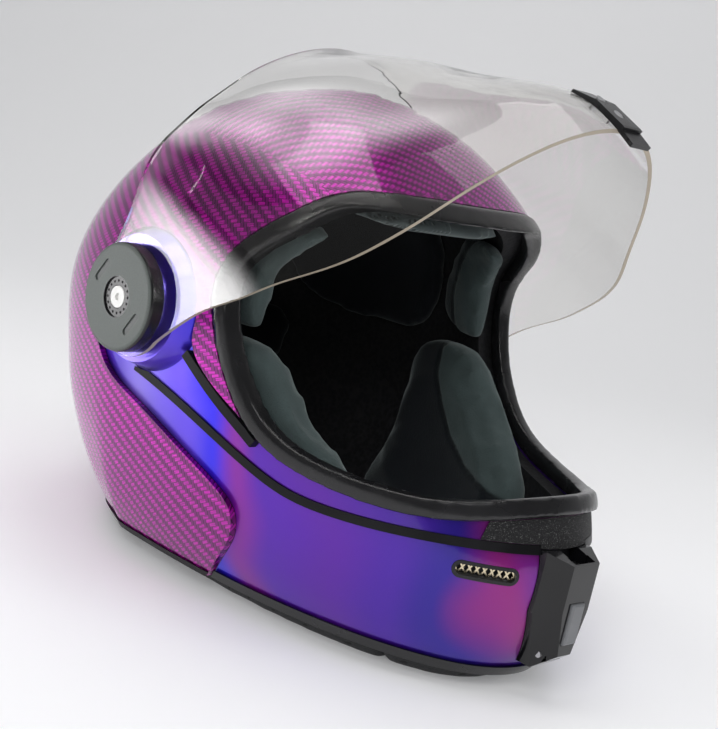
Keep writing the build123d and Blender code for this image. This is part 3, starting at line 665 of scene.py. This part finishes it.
@dataclass(frozen=True)
class Plastic:
    """Moulded plastic with a fine grain, satin or gloss."""

    name: str
    colour: Colour
    roughness: float
    grain_depth: float = 0.00004
    coat: float = 0.0
    specular: float = 0.4
    grain_scale: float = 2200.0
    grain_share: float = 0.5
    wear_scale: float = 55.0
    wear_span: Span = (0.5, 0.85)
    shine_span: Span = (0.3, 0.75)
    smoothest: float = 0.02
    smoother: float = 0.08
    rougher: float = 0.06
    coat_roughness: float = 0.03

    def make(self) -> Material:
        """Builds the material.

        Returns:
            The material.
        """
        g = Graph(self.name)
        wear = g.noise(self.wear_scale, 4.0)
        limits = (max(self.smoothest, self.roughness - self.smoother), self.roughness + self.rougher)
        g.bump(g.noise(self.grain_scale, 3.0), self.grain_depth, self.grain_share)
        return g.finish(
            Base_Color=g.blend(g.step(wear, *self.wear_span), self.colour, lighter(self.colour, 1.25, 0.003)),
            Roughness=g.remap(wear, self.shine_span, limits), Coat_Weight=self.coat,
            Coat_Roughness=self.coat_roughness, Specular_IOR_Level=self.specular,
        )


@dataclass(frozen=True)
class CoverPlastic:
    """The pivot cover: a grey matt face, a black side wall and a black hub well."""

    name: str = "cover_plastic"
    face: Colour = (0.105, 0.120, 0.112)
    grain_shade: float = 0.8
    wall: Colour = (0.010, 0.010, 0.011)
    face_from: float = 0.1243
    face_blur: float = 0.0008
    well_radius: float = 0.0095
    well_blur: float = 0.0003
    grain_scale: float = 1500.0
    grain_span: Span = (0.3, 0.8)
    grain_depth: float = 0.00006
    grain_share: float = 0.6
    wall_roughness: float = 0.25
    face_roughness: float = 0.55

    def make(self) -> Material:
        """Builds the material.

        Returns:
            The material.
        """
        g = Graph(self.name)
        x, y, z = g.axes(g.place())
        dy, dz = (g.calc("SUBTRACT", here, middle) for here, middle in zip((y, z), PIVOT))
        away = g.calc("SQRT", g.calc("ADD", g.calc("MULTIPLY", dy, dy), g.calc("MULTIPLY", dz, dz)))
        outside = g.step(g.calc("ABSOLUTE", x), self.face_from, self.face_from + self.face_blur)
        off_well = g.step(away, self.well_radius, self.well_radius + self.well_blur)
        on_face = g.calc("MULTIPLY", outside, off_well)
        grain = g.noise(self.grain_scale, 3.0)
        face = g.blend(g.step(grain, *self.grain_span), self.face, lighter(self.face, self.grain_shade, 0.0))
        g.bump(grain, self.grain_depth, self.grain_share)
        return g.finish(
            Base_Color=g.blend(on_face, self.wall, face),
            Roughness=g.remap(on_face, (0.0, 1.0), (self.wall_roughness, self.face_roughness)),
        )


@dataclass(frozen=True)
class Metal:
    """Bare metal with fine lines from working."""

    name: str
    colour: Colour
    roughness: float = 0.28
    line_scale: Point = (4000.0, 300.0, 300.0)
    shine_span: Span = (0.3, 0.7)
    smoother: float = 0.08
    rougher: float = 0.1
    line_shade: float = 0.85

    def make(self) -> Material:
        """Builds the material.

        Returns:
            The material.
        """
        g = Graph(self.name)
        stretched = g.add("Mapping", {"Vector": g.place(), "Scale": self.line_scale}).outputs[0]
        lines = g.noise(1.0, 3.0, stretched)
        limits = (self.roughness - self.smoother, self.roughness + self.rougher)
        shade = g.blend(lines, lighter(self.colour, self.line_shade, 0.0), self.colour)
        return g.finish(Base_Color=shade, Metallic=1.0, Roughness=g.remap(lines, self.shine_span, limits))


@dataclass(frozen=True)
class FoamBeads:
    """Black expanded foam with fused beads."""

    name: str = "foam_beads"
    bead_scale: float = 420.0
    bead_span: Span = (0.2, 0.9)
    bead_depth: float = 0.0003
    bead_share: float = 0.6
    middle: Colour = (0.008, 0.008, 0.009)
    joint: Colour = (0.016, 0.016, 0.018)
    roughness: float = 0.8

    def make(self) -> Material:
        """Builds the material.

        Returns:
            The material.
        """
        g = Graph(self.name)
        beads = g.cells(self.bead_scale)
        g.bump(beads, self.bead_depth, self.bead_share)
        colour = g.blend(g.step(beads, *self.bead_span), self.middle, self.joint)
        return g.finish(Base_Color=colour, Roughness=self.roughness)


@dataclass(frozen=True)
class StageSurface:
    """Plain pale floor and backdrop that glow faintly."""

    name: str
    glow: float
    colour: Colour = (0.84, 0.84, 0.85)
    light: tuple[float, float, float, float] = (0.97, 0.98, 1.0, 1.0)
    roughness: float = 0.7
    specular: float = 0.2

    def make(self) -> Material:
        """Builds the material.

        Returns:
            The material.
        """
        g = Graph(self.name)
        return g.finish(
            Base_Color=self.colour, Roughness=self.roughness, Specular_IOR_Level=self.specular,
            Emission_Color=self.light, Emission_Strength=self.glow,
        )


@dataclass(frozen=True)
class SoftCard:
    """A glow that fades out from the middle of a card."""

    name: str
    middle: Point
    radius: float
    glow: float
    light: tuple[float, float, float, float] = (1.0, 0.99, 1.0, 1.0)

    def make(self) -> Material:
        """Builds the material.

        Returns:
            The material.
        """
        g = Graph(self.name)
        away = g.add("VectorMath", {0: g.place(), 1: self.middle}, operation="DISTANCE").outputs["Value"]
        fade = g.step(away, self.radius, 0.0)
        return g.finish(
            Base_Color=(0.0, 0.0, 0.0), Roughness=1.0, Specular_IOR_Level=0.0, Emission_Color=self.light,
            Emission_Strength=g.calc("MULTIPLY", g.calc("MULTIPLY", fade, fade), self.glow),
        )


def dress(name: str, finish: Material) -> None:
    """Gives a CAD node its material.

    Args:
        name: The node.
        finish: Its material.
    """
    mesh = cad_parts[name].data
    mesh.materials.clear()
    mesh.materials.append(finish)
    LOG.info("dressed %s", name)


def smooth_node(name: str) -> None:
    """Shades a CAD node smooth, except across sharp edges."""
    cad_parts[name].data.shade_smooth()
    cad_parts[name].data.set_sharp_from_angle(angle=SHARP_EDGE)


def link(mesh: bpy.types.Mesh, name: str) -> bpy.types.Object:
    """Puts a mesh in the scene.

    Args:
        mesh: The mesh.
        name: The new object's name.

    Returns:
        The new object.
    """
    piece = bpy.data.objects.new(name, mesh)
    bpy.context.scene.collection.objects.link(piece)
    return piece


def applied(piece: bpy.types.Object) -> None:
    """Applies every modifier of a piece to its mesh.

    Args:
        piece: The piece.
    """
    bpy.context.view_layer.update()
    graph = bpy.context.evaluated_depsgraph_get()
    shaped = bpy.data.meshes.new_from_object(piece.evaluated_get(graph))
    old = piece.data
    piece.modifiers.clear()
    piece.data = shaped
    bpy.data.meshes.remove(old)


def soften(piece: bpy.types.Object, voxel: float, rounds: int) -> None:
    """Gives a piece an even mesh and rounds its edges, as modifiers.

    Args:
        piece: The piece.
        voxel: The new mesh's cell size.
        rounds: How often each point moves halfway to its neighbours' middle.
    """
    remesh = piece.modifiers.new("remesh", "REMESH")
    remesh.mode = "VOXEL"
    remesh.voxel_size = voxel
    smooth = piece.modifiers.new("smooth", "SMOOTH")
    smooth.factor = 0.5
    smooth.iterations = rounds


@dataclass
class Studio:
    """Camera at the photograph's angle, soft lights, pale floor and backdrop.

    Each lamp is a name, a place, a width and a power in watts. Each card is a name, a place, a radius and a
    glow.
    """

    target: Point = (0.0, -0.01145, 0.1136)
    azimuth: float = math.radians(-47.6)
    elevation: float = math.radians(10.6)
    roll: float = math.radians(12.6)
    distance: float = 0.702
    sensor: float = 36.0
    focal_pixels: float = 1400.0
    picture_pixels: float = 729.0
    nearest: float = 0.01
    world: float = 0.13
    glow: float = 0.15
    lamps: tuple[tuple[str, Point, float, float], ...] = (
        ("above", (-0.2, 0.1, 1.5), 1.3, 13.0),
        ("key", (-1.1, -0.75, 0.85), 0.7, 10.0),
        ("fill", (0.6, -1.3, 0.7), 0.6, 5.0),
    )
    cards: tuple[tuple[str, Point, float, float], ...] = (
        ("side_card", (-0.556, 0.428, 0.060), 0.34, 10.0),
        ("top_card", (-0.25, 0.75, 1.15), 0.55, 3.5),
        ("brow_card", (-0.30, -0.60, 1.35), 0.42, 5.5),
    )
    card_sides: int = 48
    stage_reach: float = 4.0
    bend_start: float = 0.75
    bend_radius: float = 0.9
    bend_steps: int = 16

    def build(self) -> None:
        """Builds camera, lamps, world, floor, backdrop and cards."""
        self.camera()
        scene = bpy.context.scene
        scene.view_settings.view_transform = "Standard"
        world = bpy.data.worlds.new("studio")
        scene.world = world
        world.use_nodes = True
        light = world.node_tree.nodes["Background"]
        light.inputs[0].default_value = (1.0, 1.0, 1.0, 1.0)
        light.inputs[1].default_value = self.world
        for lamp in self.lamps:
            self.lamp(*lamp)
        self.sweep()
        for card in self.cards:
            self.card(*card)

    def camera(self) -> None:
        """Creates the scene's camera."""
        a, e, r = self.azimuth, self.elevation, self.roll
        back = Vector((math.sin(a) * math.cos(e), -math.cos(a) * math.cos(e), math.sin(e)))
        level = Vector((math.cos(a), math.sin(a), 0.0))
        rise = back.cross(level)
        right = level * math.cos(r) + rise * math.sin(r)
        up = rise * math.cos(r) - level * math.sin(r)
        data = bpy.data.cameras.new("camera")
        data.lens = self.focal_pixels * self.sensor / self.picture_pixels
        data.sensor_width = self.sensor
        data.clip_start = self.nearest
        camera = bpy.data.objects.new("camera", data)
        bpy.context.scene.collection.objects.link(camera)
        place = Matrix((right, up, back)).transposed().to_4x4()
        place.translation = Vector(self.target) + back * self.distance
        camera.matrix_world = place
        bpy.context.scene.camera = camera

    def lamp(self, name: str, place: Point, width: float, power: float) -> None:
        """Adds a soft square lamp that faces the helmet and doesn't show in glossy surfaces.

        Args:
            name: Its name.
            place: Where it hangs.
            width: Its width.
            power: Its power in watts.
        """
        data = bpy.data.lights.new(name, "AREA")
        data.shape = "SQUARE"
        data.size = width
        data.energy = power
        lamp = bpy.data.objects.new(name, data)
        bpy.context.scene.collection.objects.link(lamp)
        lamp.visible_glossy = False
        facing = (Vector(self.target) - Vector(place)).to_track_quat("-Z", "Y")
        lamp.matrix_world = Matrix.Translation(place) @ facing.to_matrix().to_4x4()

    def card(self, name: str, place: Point, radius: float, glow: float) -> None:
        """Adds a glowing round card that faces the helmet and shows only in what it lights.

        Args:
            name: Its name.
            place: Its middle.
            radius: Its radius.
            glow: How brightly its middle glows.
        """
        facing = (Vector(self.target) - Vector(place)).normalized()
        across = facing.orthogonal().normalized()
        rise = facing.cross(across)
        rim = []
        for turn in np.linspace(0, 2 * math.pi, self.card_sides, endpoint=False):
            rim.append(Vector(place) + (across * math.cos(turn) + rise * math.sin(turn)) * radius)
        mesh = bpy.data.meshes.new(name)
        mesh.from_pydata(rim, [], [tuple(range(len(rim)))])
        mesh.materials.append(SoftCard(name, place, radius, glow).make())
        card = link(mesh, name)
        card.visible_camera = False

    def sweep(self) -> None:
        """Adds the floor, which curves up into the backdrop behind the helmet."""
        reach = self.stage_reach
        profile = [(-reach, 0.0), (self.bend_start, 0.0)]
        for i in range(1, self.bend_steps + 1):
            turn = i * math.pi / 2 / self.bend_steps
            rise = self.bend_radius * (1.0 - math.cos(turn))
            profile.append((self.bend_start + self.bend_radius * math.sin(turn), rise))
        profile.append((self.bend_start + self.bend_radius, reach))
        ahead = Vector((-math.sin(self.azimuth), math.cos(self.azimuth), 0.0))
        level = Vector((math.cos(self.azimuth), math.sin(self.azimuth), 0.0))
        points = [ahead * s + level * w + Vector((0.0, 0.0, z)) for s, z in profile for w in (-reach, reach)]
        faces = [(2 * i, 2 * i + 1, 2 * i + 3, 2 * i + 2) for i in range(len(profile) - 1)]
        mesh = bpy.data.meshes.new("stage_sweep")
        mesh.from_pydata(points, [], faces)
        mesh.materials.append(StageSurface("stage_sweep", self.glow).make())
        mesh.shade_smooth()
        link(mesh, "stage_sweep")


@dataclass
class Shell:
    """Carbon shell, painted chin guard, rubber edges and liner foam."""

    carbon: Material = field(default_factory=TwillCarbon().make)
    paint: Material = field(default_factory=CandyPaint().make)
    edge: Material = field(default_factory=Rubber("edge_rubber", (0.005, 0.005, 0.006), 0.36, 0.2).make)
    bead: Material = field(default_factory=Rubber("bead_rubber", (0.009, 0.009, 0.010), 0.24, 0.5).make)
    strip: Material = field(default_factory=SpeckledStrip().make)
    foam: Material = field(default_factory=FoamBeads().make)
    bead_voxel: float = 0.0012
    bead_rounding: int = 24

    def build(self) -> None:
        """Dresses the rigid skin and what is bonded to it."""
        rows = (
            ("outer_shell", self.carbon), ("chin_guard", self.paint), ("chin_strip", self.strip),
            ("lower_trim_front", self.bead), ("lower_trim_rear", self.edge),
            ("skull_liner", self.foam), ("chin_liner", self.foam),
            ("visor_seal_right", self.edge), ("visor_seal_left", self.edge),
            ("guard_line_trim_right", self.edge), ("guard_line_trim_left", self.edge),
        )
        for name, finish in rows:
            dress(name, finish)
            smooth_node(name)
        self.round_bead()

    def round_bead(self) -> None:
        """Replaces the gasket's square section with a soft round one."""
        piece = link(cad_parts["eye_port_gasket"].data.copy(), "eye_port_bead")
        soften(piece, self.bead_voxel, self.bead_rounding)
        applied(piece)
        piece.data.materials.clear()
        piece.data.materials.append(self.bead)
        piece.data.shade_smooth()
        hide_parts("eye_port_gasket")
        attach(piece, "helmet")
        LOG.info("built %s: %d faces", piece.name, len(piece.data.polygons))


@dataclass
class Visor:
    """Clear visor with its cut edge, nose tab, pivot covers, hubs and bushes."""

    sheet_bend: float = math.radians(40)
    weld: float = 0.000001
    edge_lift: float = 0.00006
    bore_reach: float = 0.0095

    def build(self) -> None:
        """Dresses the turning pieces and the pivots they turn on."""
        steel = Metal("bright_steel", (0.62, 0.62, 0.63)).make()
        pivot_rows = (
            ("pivot_cover", CoverPlastic().make()),
            ("pivot_screw", Plastic("hub_plastic", (0.72, 0.72, 0.70), 0.35).make()),
            ("pivot_bush", Plastic("bush_plastic", (0.55, 0.54, 0.50), 0.45).make()),
            ("base_plate", steel),
            ("base_plate_screws", steel),
        )
        dress("visor", ClearSheet().make())
        smooth_node("visor")
        dress("visor_tab", Plastic("tab_plastic", (0.012, 0.012, 0.013), 0.32, grain_depth=0.00008).make())
        dress("tab_screws", steel)
        smooth_node("tab_screws")
        for side in SIDES:
            for piece, finish in pivot_rows:
                dress(f"{piece}_{side}", finish)
                smooth_node(f"{piece}_{side}")
        self.cut_edge()

    def cut_edge(self) -> None:
        """Lays the pale cut edge of the sheet over the visor's narrow faces."""
        source = bmesh.new()
        source.from_mesh(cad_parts["visor"].data)
        bmesh.ops.remove_doubles(source, verts=source.verts, dist=self.weld)
        source.faces.ensure_lookup_table()
        island, areas = self.islands(source)
        sheets = set(sorted(range(len(areas)), key=lambda i: -areas[i])[:2])
        source.normal_update()
        drop = [f for f in source.faces if island[f.index] in sheets or self.in_bore(f.calc_center_median())]
        bmesh.ops.delete(source, geom=drop, context="FACES")
        source.normal_update()
        for vertex in source.verts:
            vertex.co += vertex.normal * self.edge_lift
        mesh = bpy.data.meshes.new("visor_cut_edge")
        source.to_mesh(mesh)
        source.free()
        mesh.materials.append(Plastic("cut_edge", (0.42, 0.36, 0.28), 0.35).make())
        piece = link(mesh, "visor_cut_edge")
        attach(piece, "visor_assembly")
        LOG.info("laid the visor's cut edge: %d faces", len(mesh.polygons))

    def islands(self, source: bmesh.types.BMesh) -> tuple[list[int], list[float]]:
        """Sorts the visor's faces into islands that end at sharp bends.

        Args:
            source: The visor's mesh.

        Returns:
            Each face's island, and each island's area.
        """
        island = [-1] * len(source.faces)
        areas: list[float] = []
        for face in source.faces:
            if island[face.index] >= 0:
                continue
            stack = [face]
            island[face.index] = len(areas)
            area = 0.0
            while stack:
                here = stack.pop()
                area += here.calc_area()
                for edge in here.edges:
                    if len(edge.link_faces) != 2 or edge.calc_face_angle(math.pi) > self.sheet_bend:
                        continue
                    for beyond in edge.link_faces:
                        if island[beyond.index] < 0:
                            island[beyond.index] = len(areas)
                            stack.append(beyond)
            areas.append(area)
        return island, areas

    def in_bore(self, place: Vector) -> bool:
        """True for a place in a bore of the ears, which the covers hide."""
        return math.hypot(place.y - PIVOT[0], place.z - PIVOT[1]) < self.bore_reach


@dataclass
class Latch:
    """Chin latch: gloss black housing, grey button, steel hook, pin and spring."""

    gloss: Plastic = Plastic(
        "gloss_black", (0.004, 0.004, 0.005), 0.10, grain_depth=0.00001, coat=0.35, specular=0.3,
    )
    satin: Plastic = Plastic("button_plastic", (0.16, 0.165, 0.175), 0.38)
    bare: Metal = Metal("latch_steel", (0.55, 0.55, 0.56))

    def build(self) -> None:
        """Dresses the latch."""
        steel = self.bare.make()
        dress("latch_housing", self.gloss.make())
        dress("latch_button", self.satin.make())
        for name in ("latch_hook", "latch_pin", "latch_spring"):
            dress(name, steel)
            smooth_node(name)
        smooth_node("latch_button")


@dataclass
class Vents:
    """Chin vents: black frames and pale gold mesh."""

    rim: Plastic = Plastic("vent_plastic", (0.012, 0.012, 0.014), 0.38)
    net: Metal = Metal("vent_mesh_metal", (0.78, 0.68, 0.48), 0.25)

    def build(self) -> None:
        """Dresses both vents."""
        rim = self.rim.make()
        net = self.net.make()
        for side in SIDES:
            dress(f"vent_frame_{side}", rim)
            dress(f"vent_mesh_{side}", net)
            smooth_node(f"vent_frame_{side}")


@dataclass
class PortEdge:
    """The eye port's edge in the side view, from the crown round to the chin.

    Its points are shares of the shell's reach ahead of the pivot and of its height, as in the part's source.
    """

    shares: tuple[Span, ...] = (
        (-0.640, 0.832), (-0.540, 0.833), (-0.455, 0.831), (-0.390, 0.818), (-0.326, 0.759), (-0.268, 0.707),
        (-0.226, 0.660), (-0.207, 0.596), (-0.228, 0.512), (-0.258, 0.460), (-0.305, 0.405), (-0.368, 0.352),
        (-0.447, 0.315), (-0.560, 0.292), (-0.705, 0.283), (-0.830, 0.291), (-0.930, 0.316), (-1.050, 0.345),
    )
    front_reach: float = 0.190
    shell_height: float = 0.2346
    shell_foot: float = 0.010
    steps: int = 12

    def distances(self, mesh: bpy.types.Mesh) -> np.ndarray:
        """How far each point of a mesh lies from the edge, in the side view.

        Args:
            mesh: The mesh.

        Returns:
            One distance for each point.
        """
        points = []
        for ahead, rise in self.shares:
            points.append((PIVOT[0] + ahead * self.front_reach, self.shell_foot + rise * self.shell_height))
        rows = []
        for (y0, z0), (y1, z1) in zip(points[:-1], points[1:]):
            for i in range(self.steps):
                share = i / self.steps
                rows.append((y0 + (y1 - y0) * share, z0 + (z1 - z0) * share))
        tree = KDTree(len(rows))
        for i, (y, z) in enumerate(rows):
            tree.insert((0.0, y, z), i)
        tree.balance()
        return np.array([tree.find((0.0, v.co.y, v.co.z))[2] for v in mesh.vertices])


@dataclass
class Pad:
    """One stuffed cloth pad, shaped from its solid's space."""

    node: str
    cloth: Material
    voxel: float = 0.0032
    rounding: int = 16
    puff: float = 0.0012
    stuffed: bool = False
    rim_reach: float = 0.017
    rim_blur: float = 0.002
    seam_at: float = 0.0
    seam_half: float = 0.0012
    seam_depth: float = 0.0010
    slot: str = "pad"
    pressure: float = 4.0
    quality: int = 5
    frames: int = 20
    most: float = 0.0045
    least: float = 1e-9

    def build(self, edge: PortEdge) -> None:
        """Shapes and dresses the pad.

        Args:
            edge: The eye port's edge, for the face cloth and the seam.
        """
        piece = link(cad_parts[self.node].data.copy(), self.node + "_cloth")
        soften(piece, self.voxel, self.rounding)
        if not self.stuffed:
            swell = piece.modifiers.new("swell", "DISPLACE")
            swell.strength = self.puff
            swell.mid_level = 0.0
        applied(piece)
        if self.stuffed:
            self.stuff(piece)
        finer = piece.modifiers.new("finer", "SUBSURF")
        finer.levels = 1
        finer.render_levels = 1
        applied(piece)
        self.mark(piece.data, edge)
        piece.data.materials.clear()
        piece.data.materials.append(self.cloth)
        piece.data.shade_smooth()
        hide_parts(self.node)
        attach(piece, "helmet")
        LOG.info("built %s: %d faces", piece.name, len(piece.data.polygons))

    def stuff(self, piece: bpy.types.Object) -> None:
        """Blows the cover up with a short cloth simulation and keeps the result.

        Args:
            piece: The pad.
        """
        scene = bpy.context.scene
        count = len(piece.data.vertices)
        before = np.empty(count * 3)
        piece.data.vertices.foreach_get("co", before)
        cover = piece.modifiers.new("stuffing", "CLOTH")
        cover.settings.quality = self.quality
        cover.settings.use_pressure = True
        cover.settings.uniform_pressure_force = self.pressure
        cover.settings.effector_weights.gravity = 0.0
        cover.point_cache.frame_start = 1
        cover.point_cache.frame_end = self.frames
        for step in range(1, self.frames + 1):
            scene.frame_set(step)
        shaped = piece.evaluated_get(bpy.context.evaluated_depsgraph_get()).data
        after = np.empty(count * 3)
        shaped.vertices.foreach_get("co", after)
        piece.modifiers.clear()
        move = (after - before).reshape(-1, 3)
        length = np.linalg.norm(move, axis=1, keepdims=True)
        move *= np.minimum(1.0, self.most / np.maximum(length, self.least))
        piece.data.vertices.foreach_set("co", before + move.ravel())
        piece.data.update()
        scene.frame_set(1)
        LOG.info("stuffed %s: moved by up to %.1f mm", piece.name, float(length.max()) / MM)

    def mark(self, mesh: bpy.types.Mesh, edge: PortEdge) -> None:
        """Keeps how near each point is to the port's edge, and draws the seam in.

        Args:
            mesh: The pad's mesh.
            edge: The port's edge.
        """
        away = edge.distances(mesh)
        rim = np.clip(1.0 - (away - self.rim_reach) / self.rim_blur, 0.0, 1.0)
        seam = np.zeros(len(away))
        if self.seam_at > 0.0:
            seam = np.clip(1.0 - np.abs(away - self.seam_at) / self.seam_half, 0.0, 1.0)
            for vertex, share in zip(mesh.vertices, seam):
                vertex.co -= vertex.normal * float(share) * self.seam_depth
        for name, values in (("rim", rim), ("seam", seam)):
            layer = mesh.attributes.new(name, "FLOAT", "POINT")
            layer.data.foreach_set("value", values.astype(np.float32))


@dataclass
class Lining:
    """Comfort pads, neck collar, chin curtain and chin straps."""

    edge: PortEdge = field(default_factory=PortEdge)
    honeycomb: Cloth = Cloth(
        "brow_honeycomb", Weave.HONEYCOMB, face=(0.085, 0.105, 0.105), open_to=0.0, pitch=0.0030,
    )
    webbing: Cloth = Cloth(
        "webbing", Weave.WEBBING, face=(0.012, 0.012, 0.013), inside=(0.012, 0.012, 0.013), pitch=0.0016,
    )
    no_face: float = -0.01
    strap_edge: float = 0.0006
    strap_edge_steps: int = 3

    def build(self) -> None:
        """Builds every soft piece."""
        jersey = Cloth("pad_jersey").make()
        honeycomb = self.honeycomb.make()
        leather = PerforatedLeather().make()
        for side in SIDES:
            Pad(f"cheek_pad_{side}", jersey, stuffed=True, rim_reach=0.013, seam_at=0.0145).build(self.edge)
            Pad(f"temple_pad_{side}", jersey, stuffed=True, rim_reach=0.012, seam_at=0.0135).build(self.edge)
            Pad(f"side_pad_{side}", jersey, rim_reach=self.no_face).build(self.edge)
        Pad("brow_pad", honeycomb, stuffed=True, rim_reach=0.020, seam_at=0.0215).build(self.edge)
        Pad("crown_pad", jersey, rim_reach=self.no_face).build(self.edge)
        Pad("nape_pad", jersey, rim_reach=self.no_face).build(self.edge)
        for node in ("neck_roll", "chin_curtain"):
            Pad(node, leather, voxel=0.0026, rounding=10, puff=0.0008, slot="collar").build(self.edge)
        webbing = self.webbing.make()
        for side in SIDES:
            self.strap(f"chin_strap_{side}", webbing)

    def strap(self, node: str, webbing: Material) -> None:
        """Replaces a chin strap's solid with thin rounded webbing.

        Args:
            node: The strap's node.
            webbing: Its cloth.
        """
        piece = link(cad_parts[node].data.copy(), node + "_webbing")
        bevel = piece.modifiers.new("edges", "BEVEL")
        bevel.width = self.strap_edge
        bevel.segments = self.strap_edge_steps
        applied(piece)
        for name in ("rim", "seam"):
            piece.data.attributes.new(name, "FLOAT", "POINT")
        piece.data.materials.clear()
        piece.data.materials.append(webbing)
        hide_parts(node)
        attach(piece, "helmet")
        LOG.info("built %s", piece.name)


def main() -> None:
    """Builds the scene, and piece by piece."""
    logging.basicConfig(level=logging.INFO, format="%(message)s")
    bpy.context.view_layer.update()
    Studio().build()
    for assembly in (Shell(), Visor(), Latch(), Vents(), Lining()):
        assembly.build()


if __name__ == "__main__":
    main()
